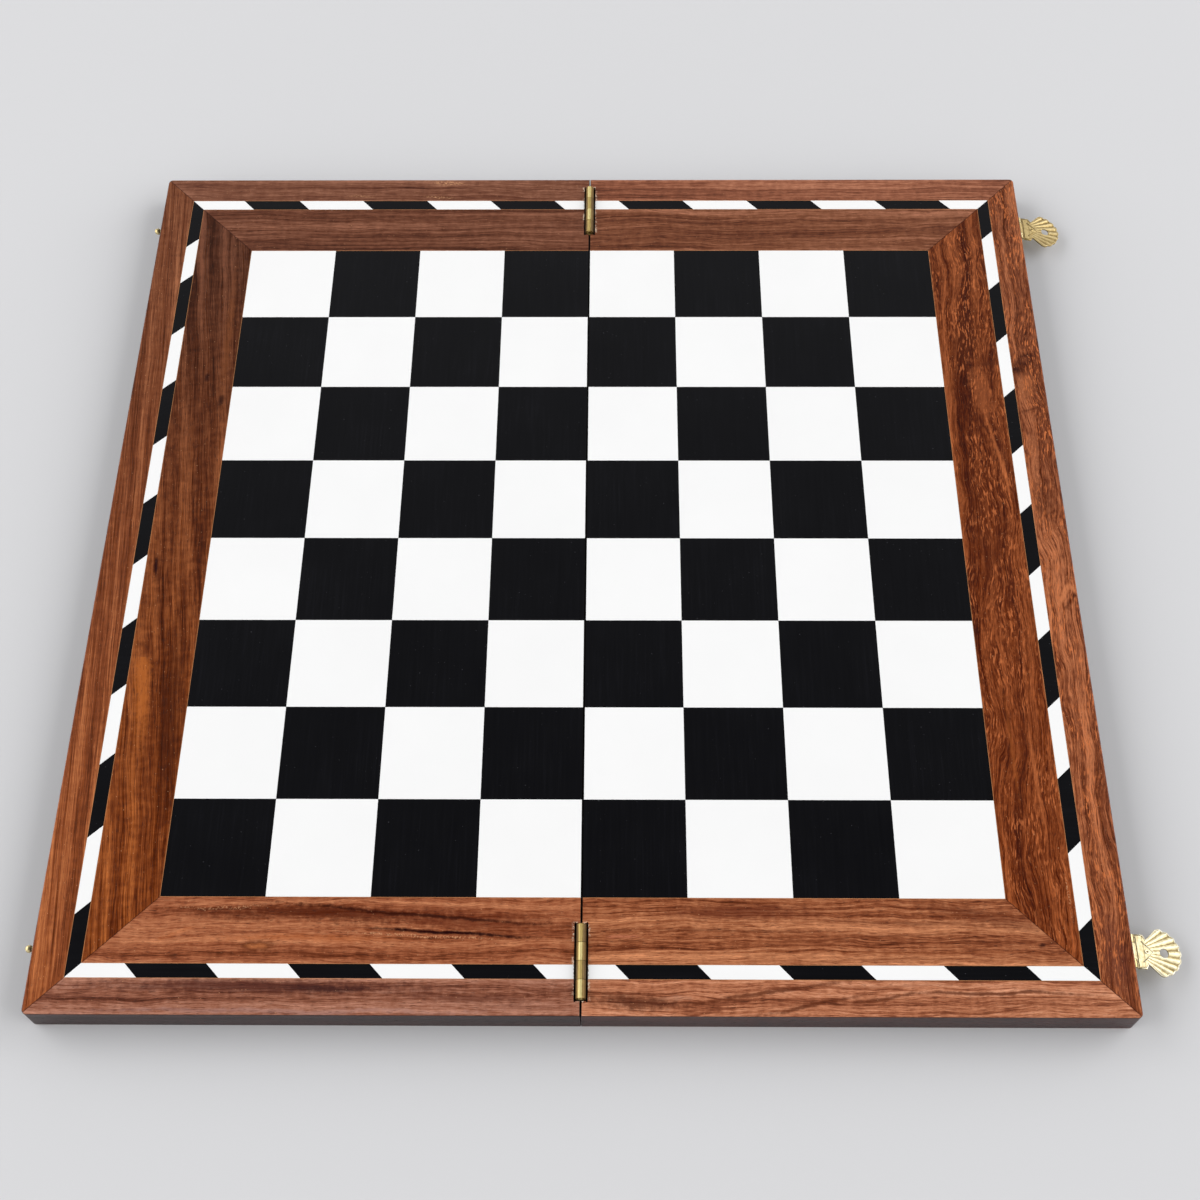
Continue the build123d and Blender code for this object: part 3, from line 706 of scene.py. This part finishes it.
# The V tongue, the drop on it and the corners of the plate's edge
tongue_base = (5.2 * MM, 5.4 * MM)
tongue_start = 5.4 * MM
tongue_tip = 11.4 * MM
tongue_slope = 0.9
drop_centre = 7.5 * MM
drop_radius = 0.85 * MM
drop_point = 0.35 * MM
plate_corners = ((2.3 * MM, 8.6 * MM), (6.35 * MM, 8.6 * MM), (7.95 * MM, 6.05 * MM))
# Lines along the plate where shade is painted
plate_lines = (2.2 * MM, 5.9 * MM)

# The raised lines
bead_radius = 0.34 * MM
bead_inset = 0.34 * MM
STEPS_PER_FLUTE = 6
STEPS_ROUND_DROP = 16


def pin_place(end):
    """Where a hasp's pin lies, from its joint."""
    for joint in frame["record"]["behaviour"]["joints"]:
        if joint["name"] == f"hasp_{end}_swing":
            return Vector(joint["pos_m"])


def shell_brass(end, crest_highlight, body, tarnish_and_shade):
    """Pressed brass of a hasp, with a painted highlight on the flutes' crests and painted shade in the
    valleys between.
    """
    g = Graph(f"shell_brass_{end}")
    reach, span, _ = g.split(g.framed(g.place, pin_place(end), (0, rest_droop, 0)))
    aside = g.absolute(span)

    # Flutes, counted from the middle one by their angle round the shell's root
    angle = g.math("ARCTAN2", aside, g.minus(reach, shell_root))
    count = g.total(g.math("DIVIDE", angle, flute_angle), 0.5)
    uneven = g.cloud(700, 3)
    off_valley = g.total(g.apart(count, g.math("ROUND", count)), centred(g, uneven, 0.3))
    outside = g.minus(aside, g.product(g.minus(tongue_tip, reach), tongue_slope))
    on_fan = g.step(reach, fan_start - 0.5 * MM, fan_start)
    fan = g.product(g.step(outside, 0.1 * MM, 0.5 * MM), on_fan)
    valleys = g.product(g.fade(off_valley, 0.02, 0.18), fan)
    crests = g.product(g.step(off_valley, 0.3, 0.48), fan)

    # Painted shade beside the tongue's edges, and in the lines along the plate
    tongue_edge = g.fade(g.absolute(outside), 0.15 * MM, 0.5 * MM, 0.8)
    tongue_edge = g.product(tongue_edge, g.step(reach, tongue_start, tongue_start + 0.5 * MM))
    painted_shade = g.math("MAXIMUM", valleys, tongue_edge)
    for line in plate_lines:
        painted_shade = g.math("MAXIMUM", painted_shade, g.fade(g.apart(reach, line), 0.2 * MM, 0.5 * MM, 0.5))
    patches = g.cloud(520, 4, 0.6)
    colour = g.mix(g.step(patches, 0.4, 0.66, 0.0, 0.45), srgb(*body), srgb(*tarnish_and_shade))
    # Painted highlight on the crests, and painted shade in the valleys, beside the tongue and in the
    # plate's lines
    colour = g.mix(g.product(crests, 0.8), colour, srgb(*crest_highlight))
    colour = g.mix(g.product(painted_shade, 0.9), colour, srgb(*tarnish_and_shade))
    g.bump(g.total(g.product(g.minus(1.0, painted_shade), 1.5), patches), 0.3, 0.12 * MM)
    roughness = g.total(0.36, g.product(painted_shade, 0.2), g.product(patches, 0.12))
    return g.finish(colour, roughness, Metallic=1.0)


def rim_line():
    """Points just inside the scalloped rim, riding over the flutes' crests."""
    points = []
    for step in range(flutes * STEPS_PER_FLUTE + 1):
        turn = math.radians(90 - 180 * step / (flutes * STEPS_PER_FLUTE))
        swell = math.sin(math.pi * (step % STEPS_PER_FLUTE) / STEPS_PER_FLUTE)
        radius = rim_radius + scallop_bulge * swell - bead_inset
        height = web_half + crest_rise * swell
        points.append((rim_centre + radius * math.cos(turn), radius * math.sin(turn), height))
    return points


def drop_line():
    """Points round the small raised drop, which comes to a point towards the fan."""
    points = []
    for step in range(STEPS_ROUND_DROP + 1):
        turn = 2 * math.pi * step / STEPS_ROUND_DROP
        point_out = drop_point * max(math.cos(turn), 0.0) ** 3
        reach = drop_centre + drop_radius * math.cos(turn) + point_out
        points.append((reach, drop_radius * math.sin(turn), panel_face))
    return points


def bead_lines():
    """Raised lines on a hasp's outer face, in its own plane: edge, tongue and drop."""
    upper = [(reach, span, web_half) for reach, span in plate_corners]
    lower = [(reach, -span, height) for reach, span, height in reversed(upper)]
    base_reach, base_span = tongue_base
    tongue = [
        (base_reach, base_span, panel_face),
        (tongue_tip - 0.1 * MM, 0.0, panel_face),
        (base_reach, -base_span, panel_face),
    ]
    return upper + rim_line() + lower, tongue, drop_line()


def hasp_beading(end, material):
    """Beaded lines of one hasp, swept as half-sunk round wires."""
    name = f"hasp_beading_{end}"
    curve = bpy.data.curves.new(name + "_path", "CURVE")
    curve.dimensions = "3D"
    curve.bevel_depth = bead_radius
    curve.bevel_resolution = 2
    curve.use_fill_caps = True
    for points in bead_lines():
        spline = curve.splines.new("POLY")
        spline.points.add(len(points) - 1)
        for point, place in zip(spline.points, points):
            point.co = (*place, 1.0)
    path = bpy.data.objects.new(name + "_path", curve)
    mesh = bpy.data.meshes.new_from_object(path)
    bpy.data.objects.remove(path)
    mesh.name = name

    # Merge the caps' points with the wires' own
    bm = bmesh.new()
    bm.from_mesh(mesh)
    bmesh.ops.remove_doubles(bm, verts=bm.verts, dist=0.001 * MM)
    bm.to_mesh(mesh)
    bm.free()
    mesh.transform(Matrix.Translation(pin_place(end)) @ Matrix.Rotation(rest_droop, 4, "Y"))
    mesh.materials.append(material)
    for face in mesh.polygons:
        face.use_smooth = True
    beading = bpy.data.objects.new(name, mesh)
    bpy.context.scene.collection.objects.link(beading)
    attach(beading, f"hasp_{end}")


# What each part is finished with


def dress(node, material):
    """Give a carried-over part its finish."""
    nodes_of[node].active_material = material


for seed, (node, rail) in enumerate(RAILS.items(), start=1):
    borders = (half_play, inlay_edge) if "inner" in node else (outer_edge,)
    dress(node, rosewood(node + "_wood", rail, "side" in node, seed, borders))

dark_square = black_lacquer("square_black_lacquer", (1100, 30, 30))
light_square = white_lacquer("square_white_lacquer")
dark_inlay = black_lacquer("inlay_black_lacquer", (30, 1100, 30))
light_inlay = white_lacquer("inlay_white_lacquer")
core_wood = plain_wood("core_plywood", (176, 134, 92), 21, polish=0.6)
lipping_wood = plain_wood("seam_rosewood", (104, 56, 40), 22)
backing_wood = plain_wood("backing_rosewood", (108, 60, 42), 23)
dull_barrel = barrel_brass(
    "drawn_brass_dull", body=(160, 132, 70), crown_highlight=(210, 184, 112), flank_shade_and_streaks=(92, 70, 36)
)
bright_barrel = barrel_brass(
    "drawn_brass_bright", body=(186, 156, 86), crown_highlight=(250, 234, 164), flank_shade_and_streaks=(108, 84, 42)
)
screw_brass = brass("turned_brass", (206, 176, 96), (150, 122, 60), 0.3)
pin_brass = brass("pin_brass", (150, 126, 66), (96, 78, 40), 0.4)
catch_brass = brass("pressed_brass", (232, 216, 168), (204, 182, 126), 0.28)
front_shell = shell_brass("front", crest_highlight=(240, 234, 210), body=(220, 208, 168), tarnish_and_shade=(152, 130, 84))
back_shell = shell_brass("back", crest_highlight=(220, 200, 152), body=(200, 178, 126), tarnish_and_shade=(150, 124, 76))

for side in ("left", "right"):
    dress(f"{side}_dark_squares", dark_square)
    dress(f"{side}_light_squares", light_square)
    dress(f"{side}_core_panel", core_wood)
    dress(f"{side}_seam_lipping", lipping_wood)
    dress(f"{side}_backing", backing_wood)
    dress(f"hinge_screws_{side}", screw_brass)
    for strip in ("side", "back", "front"):
        dress(f"{side}_inlay_{strip}_dark", dark_inlay)
        dress(f"{side}_inlay_{strip}_light", light_inlay)
dress("hinge_leaf_left_back", dull_barrel)
dress("hinge_leaf_right_back", bright_barrel)
dress("hinge_leaf_left_front", bright_barrel)
dress("hinge_leaf_right_front", dull_barrel)
for end in ("back", "front"):
    dress(f"hinge_pin_{end}", pin_brass)
    dress(f"hasp_pin_{end}", pin_brass)
    dress(f"hasp_base_{end}", catch_brass)
    dress(f"catch_knob_{end}", catch_brass)
dress("hasp_nails", catch_brass)
dress("shell_hasp_front", front_shell)
dress("shell_hasp_back", back_shell)
hasp_beading("front", brass("bead_brass_front", (250, 244, 222), (232, 218, 178), 0.26))
hasp_beading("back", brass("bead_brass_back", (214, 194, 146), (190, 166, 112), 0.4))


# Floor, light and camera

FLOOR_SIZE = 20.0
FLOOR_DROP = 0.2 * MM

# Between these distances from the board the floor pales to the white of the horizon
PALING = (1.2, 7.0)

# Level of the studio's light against the height of its direction
STUDIO_LEVELS = ((0.0, 1.0), (0.35, 1.0), (0.62, 0.42), (0.75, 0.27), (0.92, 0.06))

LAMP_SIZE = (5.5, 3.6)
LAMP_WATTS = 141

# Camera solved from the squares and the outer edges: above the near side, looking down at 60 degrees.
# Its place is in squares from the middle of the playing surface.
CAMERA_PLACE = Vector((0.31625, -9.41561, 15.17178))
CAMERA_TURNS = (29.7138, 0.4258, 0.3276)
CAMERA_LENS = 50.285
CAMERA_SENSOR = 36.0


def make_floor():
    """Plain pale floor that the board lies on."""
    mesh = bpy.data.meshes.new("floor")
    bm = bmesh.new()
    bmesh.ops.create_grid(bm, x_segments=1, y_segments=1, size=FLOOR_SIZE)
    bm.to_mesh(mesh)
    bm.free()
    floor = bpy.data.objects.new("floor", mesh)
    bpy.context.scene.collection.objects.link(floor)
    floor.location.z = -FLOOR_DROP

    # The paling is for the camera alone, so that it lights nothing
    g = Graph("floor_paper")
    to_camera = g.add("ShaderNodeLightPath").outputs["Is Camera Ray"]
    g.feed(g.shader.inputs["Emission Color"], WHITE)
    pale = g.step(g.length(g.place), *PALING)
    g.feed(g.shader.inputs["Emission Strength"], g.product(pale, to_camera))
    mesh.materials.append(g.finish(srgb(216, 216, 218), 0.9, Specular_IOR_Level=0.1))


def make_soft_box(name, place):
    """Large lamp that faces the board."""
    lamp = bpy.data.lights.new(name, "AREA")
    lamp.shape = "RECTANGLE"
    lamp.size, lamp.size_y = LAMP_SIZE
    lamp.energy = LAMP_WATTS
    box = bpy.data.objects.new(name, lamp)
    box.location = place
    box.rotation_euler = (-Vector(place)).to_track_quat("-Z", "Y").to_euler()
    bpy.context.scene.collection.objects.link(box)


def make_world():
    """Studio round the board: white at the horizon, dimmer towards the top."""
    world = bpy.data.worlds.new("studio")
    world.use_nodes = True
    tree = world.node_tree
    background = tree.nodes["Background"]
    direction = tree.nodes.new("ShaderNodeTexCoord").outputs["Generated"]
    height = tree.nodes.new("ShaderNodeSeparateXYZ")
    tree.links.new(direction, height.inputs[0])
    ramp = tree.nodes.new("ShaderNodeValToRGB")
    tree.links.new(height.outputs["Z"], ramp.inputs[0])
    set_stops(ramp, [(place, (level, level, level, 1)) for place, level in STUDIO_LEVELS])
    tree.links.new(ramp.outputs[0], background.inputs["Color"])
    background.inputs["Strength"].default_value = 1.0
    bpy.context.scene.world = world


def make_camera():
    """Camera that sees the board as the photo does."""
    data = bpy.data.cameras.new("camera")
    data.lens = CAMERA_LENS
    data.sensor_width = CAMERA_SENSOR
    camera = bpy.data.objects.new("camera", data)
    camera.location = CAMERA_PLACE * square + Vector((0, 0, board_top))
    camera.rotation_euler = [math.radians(turn) for turn in CAMERA_TURNS]
    bpy.context.scene.collection.objects.link(camera)
    bpy.context.scene.camera = camera


make_floor()
make_world()
make_soft_box("right_soft_box", (3.5, 0.2, 2.1))
make_soft_box("left_soft_box", (-3.5, 0.2, 2.1))
make_camera()
bpy.context.scene.view_settings.view_transform = "Standard"
